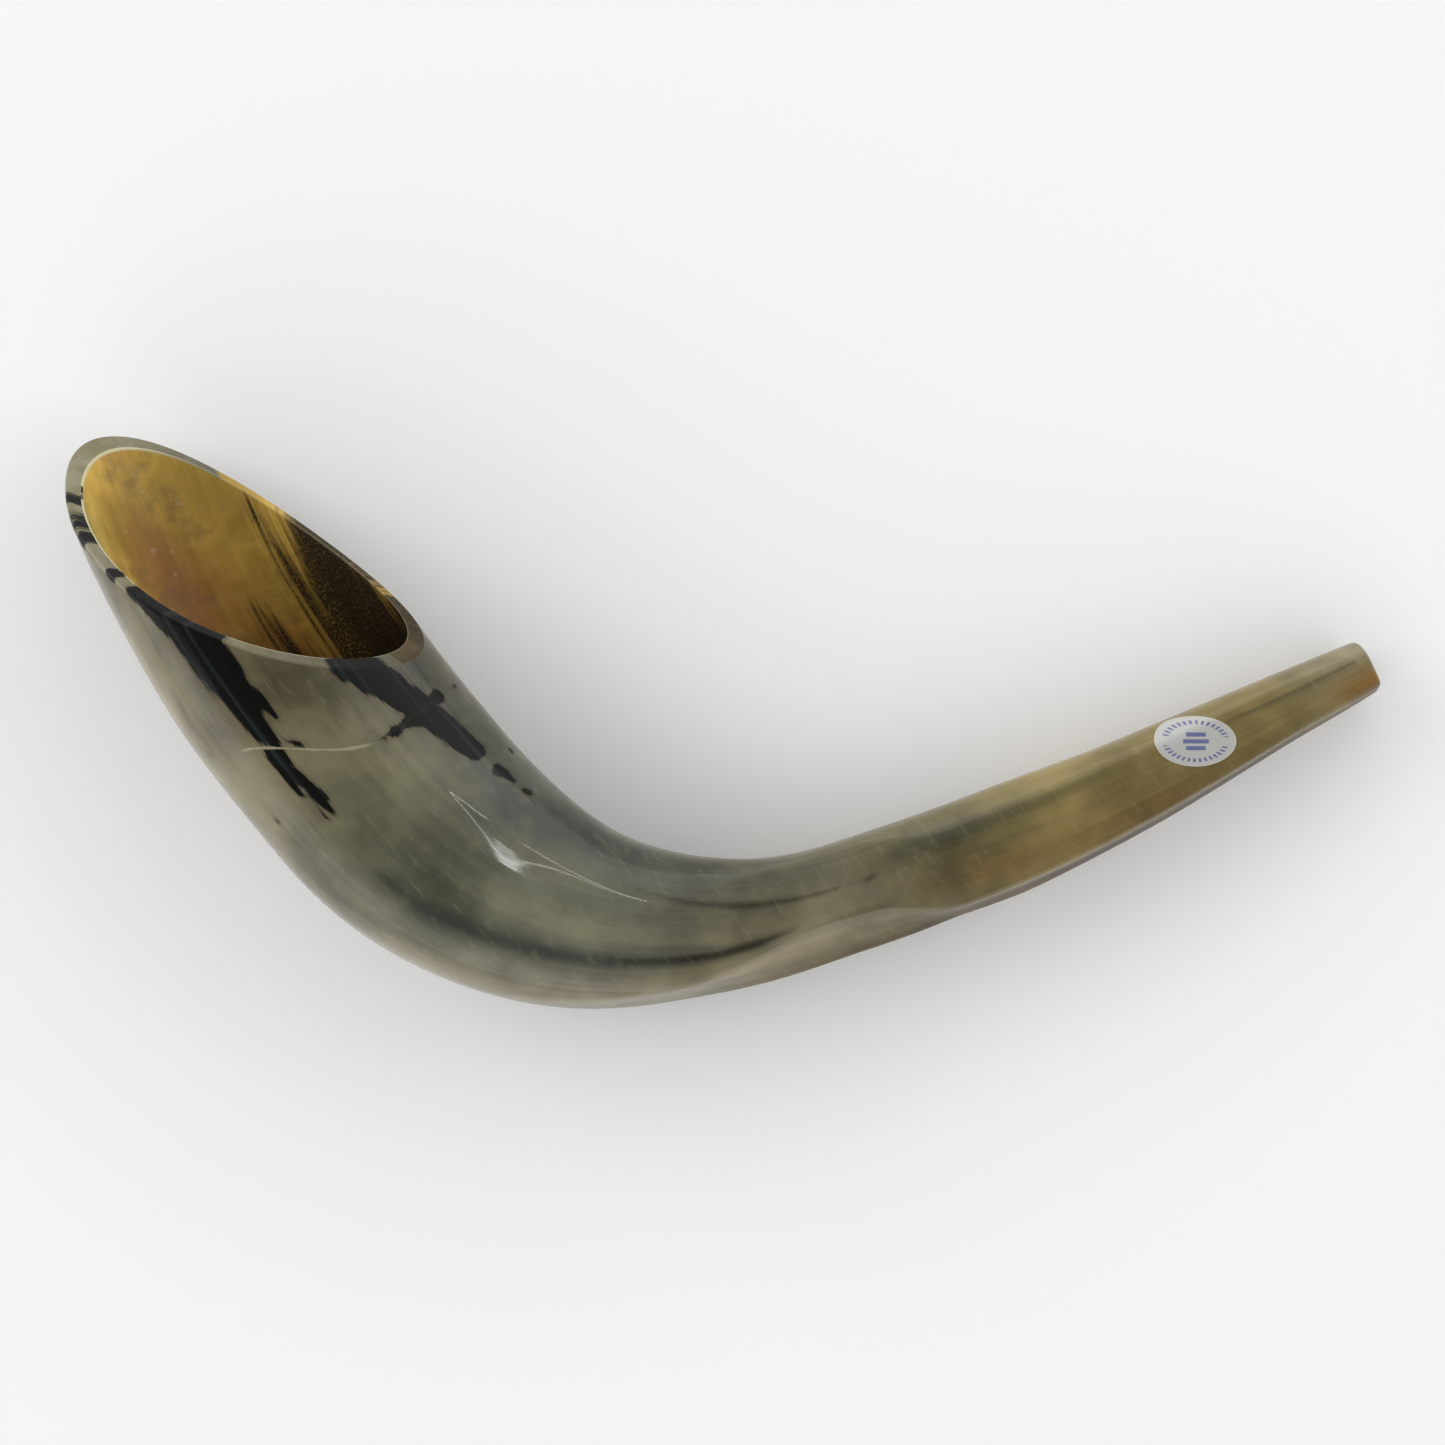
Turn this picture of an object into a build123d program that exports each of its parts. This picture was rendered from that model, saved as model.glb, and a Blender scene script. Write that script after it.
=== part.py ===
# A shofar: a ram's horn, sawn off slanting at its wide end, drilled through at its tip and laid
# on its side. The horn itself is one natural shell of keratin. An oval paper label is stuck on it.
# Millimetres. +X points to the mouthpiece end, +Z up from the floor that the horn lies on.
from build123d import *

import os
from math import cos, pi, radians, sin, sqrt

os.makedirs("parts", exist_ok=True)

# Run of the horn. Distances are along its middle line, from the mouthpiece end towards the bell.
# Headings are in degrees from +X, and each turn bends the horn smoothly between two distances.
start_heading = 207.0
stem_turn = 9.2
stem_turn_from = 40.0
stem_turn_to = 149.0
bend_turn = 70.0
bend_from = 137.0
bend_to = 292.0
bell_turn = 18.0
bell_turn_from = 280.0
bell_turn_to = 380.0
blank_length = 392.0       # the horn before its wide end is sawn off
bell_lift = 6.5            # how far the bell's middle line climbs
bell_lift_from = 250.0
bell_lift_to = 400.0

# Outside, as half widths (level) and half depths (upright)
tip_half_width = 7.2
tip_half_depth = 7.6
stem_half_width = 14.4
stem_half_depth = 12.0
bell_half_width = 30.9
bell_half_depth = 27.2
tip_taper_length = 104.0   # the tip swells to the full stem over this length
tip_taper_power = 1.3      # more than 1 slows the swelling towards the stem
flare_from = 145.0
flare_to = 273.0
stem_squareness = 2.35     # exponent of the section: 2 is an ellipse, more is squarer
bell_egg = 0.25            # how much deeper the bell is towards its outer side

# Two flats worn along the stem. They meet in a ridge that swings inwards on the bend and back.
top_flat_angle = 6.0       # direction the flat faces, degrees from upright towards the outer side
side_flat_angle = 74.0
flats_swing = 30.0
swing_from = 117.0
swing_to = 143.0
swing_back_from = 148.0
swing_back_to = 192.0
flat_depth = 1.9
flat_rounding = 1.0
flats_fade_from = 180.0
flats_fade_to = 232.0
flats_start_length = 30.0  # the flats deepen over this length from the mouthpiece end
tip_flat_share = 0.4       # their depth at the mouthpiece end, as a share of the full depth

# Inside: the horn's natural hollow, and the drilled bore that reaches it from the tip
outer_side_wall = 4.0
inner_side_wall = 2.2
top_wall = 2.4
neck_radius = 4.6
neck_distance = 112.0
full_hollow_distance = 235.0
bore_radius = 3.5
bore_overlap = 6.0         # the drill runs on this far into the hollow
cup_radius = 5.2
cup_depth = 7.0
cup_lip_radius = 0.4
tip_edge_radius = 1.0

# Saw cut of the mouth: a slanting plane across the bell
mouth_distance = 341.0     # where the plane crosses the middle line
mouth_slant = 42.0         # level line in the plane, degrees from the run of the horn
mouth_lean = 36.0          # degrees that the opening faces up
mouth_edge_radius = 0.6
mouth_saw_size = 150.0     # side of the square block that the saw takes away
mouth_saw_depth = 90.0

# Oval label
label_length = 20.8
label_width = 12.6
label_distance = 49.4
label_offset = 3.9         # from the stem's middle line towards its inner side
adhesive_thickness = 0.05
paper_thickness = 0.10
label_cutter_height = 30.0

# How finely the shapes are worked out
line_step = 1.0
outside_step = 14.0
hollow_step = 17.0
points_round = 36
mesh_fineness = 0.1


def ease(value, start, end):
    """0 before start, 1 after end, and a smooth S between them."""
    t = min(max((value - start) / (end - start), 0.0), 1.0)
    return t * t * (3 - 2 * t)


def heading(distance):
    """Direction of the middle line, in radians from +X."""
    turn = stem_turn * ease(distance, stem_turn_from, stem_turn_to)
    turn += bend_turn * ease(distance, bend_from, bend_to)
    turn += bell_turn * ease(distance, bell_turn_from, bell_turn_to)
    return radians(start_heading - turn)


def middle_line():
    """Points of the middle line seen from above, one every line_step."""
    points = [Vector(0, 0, 0)]
    for i in range(int(blank_length / line_step) + 1):
        angle = heading((i + 0.5) * line_step)
        points.append(points[-1] + Vector(cos(angle), sin(angle), 0) * line_step)
    return points


middle_points = middle_line()


def middle_point(distance):
    i = int(distance / line_step)
    share = distance / line_step - i
    return middle_points[i] * (1 - share) + middle_points[i + 1] * share


def swell(distance, tip, stem, bell):
    """A half size that grows from the tip to the stem and then flares to the bell."""
    taper = 1 - (1 - min(distance / tip_taper_length, 1.0)) ** tip_taper_power
    return tip + (stem - tip) * taper + (bell - stem) * ease(distance, flare_from, flare_to)


def oval_point(angle, half_width, half_depth, egg, squareness):
    """Point of an oval. Angle 0 is up and a quarter turn is the outer side of the curve."""
    across = half_width * abs(sin(angle)) ** (2 / squareness) * (1 if sin(angle) >= 0 else -1)
    up = half_depth * abs(cos(angle)) ** (2 / squareness) * (1 if cos(angle) >= 0 else -1)
    return across, up * (1 + egg * across / half_width)


def flatten(point, facing, half_width, half_depth, depth):
    """Push a point back to a flat that faces one way and is cut depth below the oval."""
    along, rise = sin(radians(facing)), cos(radians(facing))
    reach = sqrt((half_width * along) ** 2 + (half_depth * rise) ** 2) - depth
    excess = point[0] * along + point[1] * rise - reach
    if excess <= -flat_rounding:
        return point
    if excess < flat_rounding:
        excess = (excess + flat_rounding) ** 2 / (4 * flat_rounding)
    return point[0] - excess * along, point[1] - excess * rise


def outside_section(distance):
    """Points round the outside, as (across, up) from the middle line, from the underside on."""
    half_width = swell(distance, tip_half_width, stem_half_width, bell_half_width)
    half_depth = swell(distance, tip_half_depth, stem_half_depth, bell_half_depth)
    flare = ease(distance, flare_from, flare_to)
    squareness = stem_squareness + (2 - stem_squareness) * flare
    depth = tip_flat_share + (1 - tip_flat_share) * ease(distance, 0, flats_start_length)
    depth *= flat_depth
    depth -= (flat_depth + flat_rounding) * ease(distance, flats_fade_from, flats_fade_to)
    swung = ease(distance, swing_from, swing_to) - ease(distance, swing_back_from, swing_back_to)
    top_facing = top_flat_angle - flats_swing * swung
    side_facing = side_flat_angle - flats_swing * swung
    points = []
    for i in range(points_round):
        angle = pi + 2 * pi * i / points_round
        point = oval_point(angle, half_width, half_depth, bell_egg * flare, squareness)
        point = flatten(point, top_facing, half_width, half_depth, depth)
        points.append(flatten(point, side_facing, half_width, half_depth, depth))
    return points


def hollow_section(distance):
    """Points round the natural hollow, as (across, up) from the middle line."""
    width_wall = (outer_side_wall + inner_side_wall) / 2
    opening = sin(pi / 2 * min((distance - neck_distance) / (full_hollow_distance - neck_distance), 1))
    full_width = swell(distance, tip_half_width, stem_half_width, bell_half_width) - width_wall
    full_depth = swell(distance, tip_half_depth, stem_half_depth, bell_half_depth) - top_wall
    half_width = neck_radius + (full_width - neck_radius) * opening
    half_depth = neck_radius + (full_depth - neck_radius) * opening
    shift = (outer_side_wall - inner_side_wall) / 2 * opening
    egg = bell_egg * ease(distance, flare_from, flare_to)
    points = []
    for i in range(points_round):
        angle = pi + 2 * pi * i / points_round
        across, up = oval_point(angle, half_width, half_depth, egg, 2)
        points.append((across - shift, up))
    return points


def section_plane(distance):
    """Upright plane across the horn. Its outside section stands on the floor, or on the lift."""
    lowest = min(up for across, up in outside_section(distance))
    height = bell_lift * ease(distance, bell_lift_from, bell_lift_to) - lowest
    level = middle_point(distance)
    angle = heading(distance)
    outer_side = Vector(-sin(angle), cos(angle), 0)
    ahead = Vector(cos(angle), sin(angle), 0)
    return Plane(origin=Vector(level.X, level.Y, height), x_dir=outer_side, z_dir=ahead)


def stations(first, last, longest_step):
    """Evenly spaced distances from first to last."""
    count = int((last - first) / longest_step) + 1
    return [first + (last - first) * i / count for i in range(count + 1)]


def blow_axis():
    """Plane at the mouthpiece end whose normal is the line of the drill."""
    entry = section_plane(0).origin
    return Plane(origin=entry, x_dir=(0, 0, 1), z_dir=section_plane(neck_distance).origin - entry)


def mouth_plane():
    """The saw cut, with its normal pointing out of the bell."""
    level = heading(mouth_distance) + radians(mouth_slant)
    lean = radians(mouth_lean)
    outwards = Vector(sin(level) * cos(lean), -cos(level) * cos(lean), sin(lean))
    level_line = Vector(cos(level), sin(level), 0)
    return Plane(origin=section_plane(mouth_distance).origin, x_dir=level_line, z_dir=outwards)


def label_plane():
    """Level plane through the stem under the label's middle, with X along the label."""
    middle = middle_point(label_distance)
    angle = heading(label_distance)
    inner_side = Vector(sin(angle), -cos(angle), 0)
    height = section_plane(label_distance).origin.Z
    return Plane(origin=middle + inner_side * label_offset + Vector(0, 0, height))


def rim_of(shape, plane):
    """The ring-shaped face of a shape that lies in a plane."""
    rims = [face for face in shape.faces().filter_by(GeomType.PLANE) if plane.contains(face.center())]
    return rims[0]


# The drill's path, with the cup that the lips seal on
with BuildPart() as drilling:
    with BuildSketch(blow_axis()):
        Circle(bore_radius)
    extrude(amount=neck_distance + bore_overlap)
    with BuildSketch(section_plane(0)):
        Circle(cup_radius)
    with BuildSketch(blow_axis().offset(cup_depth)):
        Circle(bore_radius)
    loft()

# The natural hollow, from its neck to beyond the mouth
with BuildPart() as hollow:
    for distance in stations(neck_distance, blank_length, hollow_step):
        with BuildSketch(section_plane(distance)):
            with BuildLine():
                Spline(*hollow_section(distance), periodic=True)
            make_face()
    loft()

# The horn: the grown shape, hollowed, drilled and sawn
with BuildPart() as horn:
    for distance in stations(0, blank_length, outside_step):
        with BuildSketch(section_plane(distance)):
            with BuildLine():
                Spline(*outside_section(distance), periodic=True)
            make_face()
    loft()
    add(hollow.part, mode=Mode.SUBTRACT)
    add(drilling.part, mode=Mode.SUBTRACT)
    with BuildSketch(mouth_plane()):
        Rectangle(mouth_saw_size, mouth_saw_size)
    extrude(amount=mouth_saw_depth, mode=Mode.SUBTRACT)
    fillet(rim_of(horn.part, mouth_plane()).edges(), mouth_edge_radius)
    fillet(rim_of(horn.part, section_plane(0)).outer_wire().edges(), tip_edge_radius)
    fillet(rim_of(horn.part, section_plane(0)).inner_wires().edges(), cup_lip_radius)

# The oval of the stem that the label covers
with BuildPart() as label_seat:
    add(horn.part)
    with BuildSketch(label_plane()):
        Ellipse(label_length / 2, label_width / 2)
    extrude(amount=label_cutter_height, mode=Mode.INTERSECT)
stuck_face = label_seat.faces().sort_by(Axis.Z)[-1]

with BuildPart() as label_adhesive:
    thicken(stuck_face, amount=adhesive_thickness)

with BuildPart() as label_paper:
    thicken(stuck_face, amount=adhesive_thickness + paper_thickness)
    add(label_adhesive.part, mode=Mode.SUBTRACT)

# The frame's origin is under the middle of the horn, on the floor
corners = horn.part.tessellate(mesh_fineness)[0]
middle_x = (min(c.X for c in corners) + max(c.X for c in corners)) / 2
middle_y = (min(c.Y for c in corners) + max(c.Y for c in corners)) / 2
lowest_z = min(c.Z for c in corners)
to_origin = Location((-middle_x, -middle_y, -lowest_z))

horn.part.label = "horn"
horn.part.move(to_origin)
export_step(horn.part, "parts/horn.step")

label_adhesive.part.label = "label_adhesive"
label_adhesive.part.move(to_origin)
export_step(label_adhesive.part, "parts/label_adhesive.step")

label_paper.part.label = "label_paper"
label_paper.part.move(to_origin)
export_step(label_paper.part, "parts/label_paper.step")
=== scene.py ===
import math

import bpy
import numpy as np
from mathutils import Matrix, Vector


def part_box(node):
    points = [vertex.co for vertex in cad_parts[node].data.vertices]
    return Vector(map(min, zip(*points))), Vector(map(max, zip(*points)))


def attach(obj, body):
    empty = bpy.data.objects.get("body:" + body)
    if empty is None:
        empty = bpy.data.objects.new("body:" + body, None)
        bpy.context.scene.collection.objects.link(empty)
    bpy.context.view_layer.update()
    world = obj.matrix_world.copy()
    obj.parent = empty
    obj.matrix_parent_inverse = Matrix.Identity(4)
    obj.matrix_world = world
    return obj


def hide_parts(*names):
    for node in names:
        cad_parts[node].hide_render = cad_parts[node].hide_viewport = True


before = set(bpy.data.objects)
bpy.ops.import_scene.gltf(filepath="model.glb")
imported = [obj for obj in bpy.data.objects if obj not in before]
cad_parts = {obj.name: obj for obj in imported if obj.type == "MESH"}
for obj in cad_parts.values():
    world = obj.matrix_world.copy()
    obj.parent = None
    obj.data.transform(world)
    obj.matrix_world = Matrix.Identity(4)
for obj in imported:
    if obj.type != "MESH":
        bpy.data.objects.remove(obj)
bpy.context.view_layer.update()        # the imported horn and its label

# A shofar, lying on its side. Metres. The horn is one grid of points closed both ways: along the
# outside to the bell, over the sawn rim, back down the hollow and the drilled bore, through the
# cup and over the lip to where it began. Its finishes read fields worked out on that same grid.

mm = 0.001


# the horn's form

hornShape = {
    # run of the middle line: headings in degrees, distances from the mouthpiece end
    "startHeading": 207.0,
    "stemTurn": (9.2, 0.040, 0.149), "bendTurn": (70.0, 0.137, 0.292),
    "bellTurn": (18.0, 0.280, 0.380),
    "blankLength": 0.392, "bellLift": (0.0065, 0.250, 0.400),
    # outside, as half widths (level) and half depths (upright) of tip, stem and bell
    "halfWidths": (0.0072, 0.0144, 0.0309), "halfDepths": (0.0076, 0.0120, 0.0272),
    "tipTaper": 0.104, "tipTaperPower": 1.3, "flare": (0.145, 0.273),
    "stemSquareness": 2.35, "bellEgg": 0.25,
    # the two worn flats of the stem, and the ridge between them
    "topFlatAngle": 6.0, "sideFlatAngle": 74.0,
    "flatsSwing": 30.0, "swing": (0.117, 0.143), "swingBack": (0.148, 0.192),
    "flatDepth": 0.0019, "flatRounding": 0.0010, "flatsFade": (0.180, 0.232),
    "flatsStart": 0.030, "tipFlatShare": 0.4,
    # inside
    "outerSideWall": 0.0040, "innerSideWall": 0.0022, "topWall": 0.0024,
    "neckRadius": 0.0046, "neckDistance": 0.112, "fullHollowDistance": 0.235,
    "boreRadius": 0.0035, "cupRadius": 0.0052, "cupDepth": 0.0070, "cupBelly": 0.0005,
    "lipRadius": 0.0005, "tipEdgeRadius": 0.0010,
    # the saw cut of the mouth
    "mouthDistance": 0.341, "mouthSlant": 42.0, "mouthLean": 36.0,
    "rimEdge": 0.0006, "noseRounding": 0.0018, "noseAngle": 76.0, "noseSpread": 34.0,
}
hornGrid = {
    # how many rows or columns of points each stretch has
    "around": 168, "outside": 300, "hollow": 104, "bore": 26, "cup": 12, "corner": 5, "land": 3,
    # where the search for the mouth starts, and its step
    "mouthFrom": 0.24, "mouthStep": 0.5 * mm,
}


def ease(value, start, end):
    # 0 before start, 1 after end, and t * t * (3 - 2t) between
    t = np.clip((value - start) / (end - start), 0, 1)
    return t * t * (3 - 2 * t)


def bump(value, middle, spread):
    # bell curve: e to the minus (value - middle) squared over spread squared
    return np.exp(-((value - middle) / spread) ** 2)


def angleFrom(angle, middle):
    # signed difference in degrees, between -180 and 180
    return (angle - middle + 180) % 360 - 180


def heading(distance):
    # start heading less three turns, each eased in over its own stretch
    turned = sum(size * ease(distance, start, end) for size, start, end in
                 (hornShape["stemTurn"], hornShape["bendTurn"], hornShape["bellTurn"]))
    return np.radians(hornShape["startHeading"] - turned)


def swell(distance, sizes):
    # tip + (stem - tip) * taper + (bell - stem) * eased flare
    tip, stem, bell = sizes
    taper = 1 - (1 - np.clip(distance / hornShape["tipTaper"], 0, 1)) ** hornShape["tipTaperPower"]
    return tip + (stem - tip) * taper + (bell - stem) * ease(distance, *hornShape["flare"])


def oval(angle, halfWidth, halfDepth, egg, squareness):
    # a superellipse, its depth growing across by the egg share; angle 0 is up, 90 the outer side
    sine, cosine = np.sin(np.radians(angle)), np.cos(np.radians(angle))
    across = halfWidth * np.sign(sine) * np.abs(sine) ** (2 / squareness)
    up = halfDepth * np.sign(cosine) * np.abs(cosine) ** (2 / squareness)
    return across, up * (1 + egg * across / halfWidth)


def flatten(across, up, facing, halfWidth, halfDepth, depth):
    # what stands past a plane is pushed back along its normal, with a parabola at the edge
    sine, cosine = np.sin(np.radians(facing)), np.cos(np.radians(facing))
    rounding = hornShape["flatRounding"]
    excess = across * sine + up * cosine - np.hypot(halfWidth * sine, halfDepth * cosine) + depth
    curved = (np.maximum(excess, -rounding) + rounding) ** 2 / (4 * rounding)
    push = np.where(excess < rounding, curved, excess)
    return across - push * sine, up - push * cosine


def outsideSection(distance, angle):
    # the oval cut by the top flat and then by the side flat
    halfWidth = swell(distance, hornShape["halfWidths"])
    halfDepth = swell(distance, hornShape["halfDepths"])
    flared = ease(distance, *hornShape["flare"])
    squareness = hornShape["stemSquareness"] + (2 - hornShape["stemSquareness"]) * flared
    tipShare = hornShape["tipFlatShare"]
    started = tipShare + (1 - tipShare) * ease(distance, 0, hornShape["flatsStart"])
    fade = ease(distance, *hornShape["flatsFade"])
    depth = hornShape["flatDepth"] * started
    depth = depth - (hornShape["flatDepth"] + hornShape["flatRounding"]) * fade
    swung = ease(distance, *hornShape["swing"]) - ease(distance, *hornShape["swingBack"])
    swung = swung * hornShape["flatsSwing"]
    across, up = oval(angle, halfWidth, halfDepth, hornShape["bellEgg"] * flared, squareness)
    across, up = flatten(across, up, hornShape["topFlatAngle"] - swung, halfWidth, halfDepth, depth)
    return flatten(across, up, hornShape["sideFlatAngle"] - swung, halfWidth, halfDepth, depth)


def hollowSection(distance, angle):
    # an oval that opens from the neck, moved off the thick outer side
    thick, thin = hornShape["outerSideWall"], hornShape["innerSideWall"]
    reach = hornShape["fullHollowDistance"] - hornShape["neckDistance"]
    opened = np.sin(np.pi / 2 * np.clip((distance - hornShape["neckDistance"]) / reach, 0, 1))
    neck = hornShape["neckRadius"]
    fullWidth = swell(distance, hornShape["halfWidths"]) - (thick + thin) / 2
    fullDepth = swell(distance, hornShape["halfDepths"]) - hornShape["topWall"]
    halfWidth = neck + (fullWidth - neck) * opened
    halfDepth = neck + (fullDepth - neck) * opened
    egg = hornShape["bellEgg"] * ease(distance, *hornShape["flare"])
    across, up = oval(angle, halfWidth, halfDepth, egg, 2)
    return across - (thick - thin) / 2 * opened, up


# middle line: headings summed in small steps, with each section standing on the floor or the lift
lineStep = 0.5 * mm
lineDistance = np.arange(0, hornShape["blankLength"] + 2 * lineStep, lineStep)
lineHeading = heading(lineDistance[:-1] + lineStep / 2)
lineX = np.concatenate([[0], np.cumsum(np.cos(lineHeading)) * lineStep])
lineY = np.concatenate([[0], np.cumsum(np.sin(lineHeading)) * lineStep])
lowest = outsideSection(lineDistance[:, None], np.arange(0, 360, 5.0)[None])[1].min(axis=1)
liftHeight, liftFrom, liftTo = hornShape["bellLift"]
lineZ = liftHeight * ease(lineDistance, liftFrom, liftTo) - lowest


def setAcross(distance, across, up):
    # middle point + across along the outer side + up
    turned = heading(distance)
    x = np.interp(distance, lineDistance, lineX) - across * np.sin(turned)
    y = np.interp(distance, lineDistance, lineY) + across * np.cos(turned)
    return np.stack([x, y, np.interp(distance, lineDistance, lineZ) + up], axis=-1)


# small relief of the outside: heights in metres, each with its (distance, angle) and spreads

ringShape = {"distance": 0.2795, "lean": 0.018, "leanFrom": -20, "leanTo": 42}
reliefShape = {
    "wave": 0.00030, "waveShare": 0.6, "waveStart": (0.02, 0.10),
    "dent": 0.00022, "dentDistance": (0.232, 0.022), "dentAngle": (342, 16),
    "kink": 0.0007, "kinkRise": (0.132, 0.1385), "kinkFall": (0.140, 0.160), "kinkAngle": (12, 10),
}


def ringDistance(angle):
    # where the growth ring crosses each angle: level, then leaning away to the outer side
    leaning = ease(angleFrom(angle, 0), ringShape["leanFrom"], ringShape["leanTo"])
    return ringShape["distance"] + ringShape["lean"] * leaning


def facingBump(angle, middle, spread):
    # the bell curve of the angle from the middle angle
    return bump(angleFrom(angle, middle), 0, spread)


def relief(distance, angle):
    # long slow waves (products of sines) - a shallow dent + the kink where the flats swing over
    turn = np.radians(angle)
    waves = np.sin(distance * 74 + 2.0 * np.cos(turn) + 0.6) * np.cos(2 * turn + distance * 21)
    waves = waves + 0.6 * np.sin(distance * 131 + 3 * turn + 1.1)
    grown = ease(distance, *reliefShape["waveStart"])
    height = reliefShape["wave"] * waves * grown * reliefShape["waveShare"]
    dent = bump(distance, *reliefShape["dentDistance"])
    dent = dent * facingBump(angle, *reliefShape["dentAngle"])
    kink = ease(distance, *reliefShape["kinkRise"]) * (1 - ease(distance, *reliefShape["kinkFall"]))
    kink = kink * facingBump(angle, *reliefShape["kinkAngle"])
    return height - reliefShape["dent"] * dent + reliefShape["kink"] * kink


def onOutside(distance, angle, withRelief=True):
    # the section, each point moved out from the middle by the relief
    distance, angle = np.broadcast_arrays(distance, angle)
    across, up = outsideSection(distance, angle)
    if withRelief:
        grow = 1 + relief(distance, angle) / np.hypot(across, up)
        across, up = across * grow, up * grow
    return setAcross(distance, across, up)


def onHollow(distance, angle):
    distance, angle = np.broadcast_arrays(distance, angle)
    return setAcross(distance, *hollowSection(distance, angle))


def mouthCut():
    # a point of the saw plane and its normal
    level = heading(hornShape["mouthDistance"]) + math.radians(hornShape["mouthSlant"])
    lean = math.radians(hornShape["mouthLean"])
    normal = np.array([math.sin(level) * math.cos(lean), -math.cos(level) * math.cos(lean),
                       math.sin(lean)])
    return setAcross(np.array(hornShape["mouthDistance"]), 0.0, 0.0), normal


def cutDistance(surface, angle):
    # first distance past the bend at which the surface meets the saw plane, for each angle
    point, normal = mouthCut()
    step = hornGrid["mouthStep"]
    distance = np.arange(hornGrid["mouthFrom"], hornShape["blankLength"], step)
    past = (surface(distance[:, None], angle[None]) - point) @ normal
    row = np.argmax(past > 0, axis=0)
    column = np.arange(len(angle))
    before, after = past[row - 1, column], past[row, column]
    return distance[row - 1] + step * before / (before - after)


def corner(first, middle, last, count):
    # quadratic Bezier from first to last, pulled towards middle, without its two ends
    t = (np.arange(1, count + 1) / (count + 1))[:, None, None]
    return (1 - t) ** 2 * first + 2 * t * (1 - t) * middle + t ** 2 * last


def straight(first, last, count):
    # evenly spaced rows from first to last, both kept
    t = np.linspace(0, 1, count)[:, None, None]
    return first * (1 - t) + last * t


def towards(start, end, length):
    # the point a given length from start on the way to end
    step = end - start
    return start + step * length / np.linalg.norm(step, axis=-1, keepdims=True)


def ringAt(centre, axis, radius, angle):
    # circle about the drill's axis, with the same start and turning sense as the sections
    side = np.cross(axis, [0, 0, 1])
    side = side / np.linalg.norm(side)
    rise = np.cross(side, axis)
    turn = np.radians(angle)[:, None]
    return centre + radius * (-side * np.sin(turn) + rise * np.cos(turn))


def hornRows():
    # rows of points, each once round the horn, with their distances, angles and regions
    angle = np.arange(hornGrid["around"]) * 360 / hornGrid["around"]
    outEnd = cutDistance(onOutside, angle)
    inEnd = cutDistance(onHollow, angle)
    nose = facingBump(angle, hornShape["noseAngle"], hornShape["noseSpread"])
    outRound = (hornShape["rimEdge"] + hornShape["noseRounding"] * nose)[:, None]
    inRound = hornShape["rimEdge"]
    tipRound = hornShape["tipEdgeRadius"]
    boreRadius, cupRadius = hornShape["boreRadius"], hornShape["cupRadius"]

    t = np.linspace(0, 1, hornGrid["outside"])[:, None]
    outDistance = tipRound + t * (outEnd - outRound[:, 0] * 1.4 - tipRound)
    outside = onOutside(outDistance, angle[None])
    outEdge = onOutside(outEnd, angle)
    inEdge = onHollow(inEnd, angle)
    landFrom, landTo = towards(outEdge, inEdge, outRound), towards(inEdge, outEdge, inRound)
    t = np.linspace(0, 1, hornGrid["hollow"])[:, None]
    inDistance = (inEnd - inRound) + t * (hornShape["neckDistance"] - inEnd + inRound)
    hollow = onHollow(inDistance, angle[None])

    entry = setAcross(np.array(0.0), 0.0, 0.0)
    neck = setAcross(np.array(hornShape["neckDistance"]), 0.0, 0.0)
    axis = (neck - entry) / np.linalg.norm(neck - entry)
    boreStart, boreEnd = hornShape["cupDepth"], np.linalg.norm(neck - entry) - 0.5 * mm
    firstRing = ringAt(entry + axis * boreEnd, axis, boreRadius, angle)
    lastRing = ringAt(entry + axis * boreStart, axis, boreRadius, angle)
    bore = straight(firstRing, lastRing, hornGrid["bore"])
    cupSteps = []
    for share in np.linspace(0, 1, hornGrid["cup"] + 1)[1:]:
        radius = boreRadius + (cupRadius - boreRadius) * share
        radius = radius + hornShape["cupBelly"] * math.sin(math.pi * share)
        depth = boreStart * (1 - share) + hornShape["lipRadius"] * share
        cupSteps.append(ringAt(entry + axis * depth, axis, radius, angle))
    cup = np.array(cupSteps)
    cupEdge = ringAt(entry, axis, cupRadius, angle)
    tipEdge = onOutside(np.zeros(len(angle)), angle)
    lipFrom = towards(cupEdge, tipEdge, hornShape["lipRadius"])
    lipTo = towards(tipEdge, cupEdge, tipRound)

    parts = [
        ("outside", outside, outDistance),
        ("rim", corner(outside[-1], outEdge, landFrom, hornGrid["corner"]), outEnd),
        ("rim", straight(landFrom, landTo, hornGrid["land"]), outEnd),
        ("edge", corner(landTo, inEdge, hollow[0], hornGrid["corner"]), inEnd),
        ("hollow", hollow, inDistance),
        ("bore", bore, hornShape["neckDistance"]),
        ("bore", cup, 0.0),
        ("tip", corner(cup[-1], cupEdge, lipFrom, hornGrid["corner"]), 0.0),
        ("tip", straight(lipFrom, lipTo, hornGrid["land"]), 0.0),
        ("tip", corner(lipTo, tipEdge, outside[0], hornGrid["corner"]), 0.0),
    ]
    points = np.concatenate([rows for name, rows, distance in parts])
    along = np.concatenate([np.broadcast_to(distance, rows.shape[:2])
                            for name, rows, distance in parts])
    region = np.concatenate([np.full(len(rows), name) for name, rows, distance in parts])
    return points, along, np.broadcast_to(angle, along.shape), region


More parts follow.
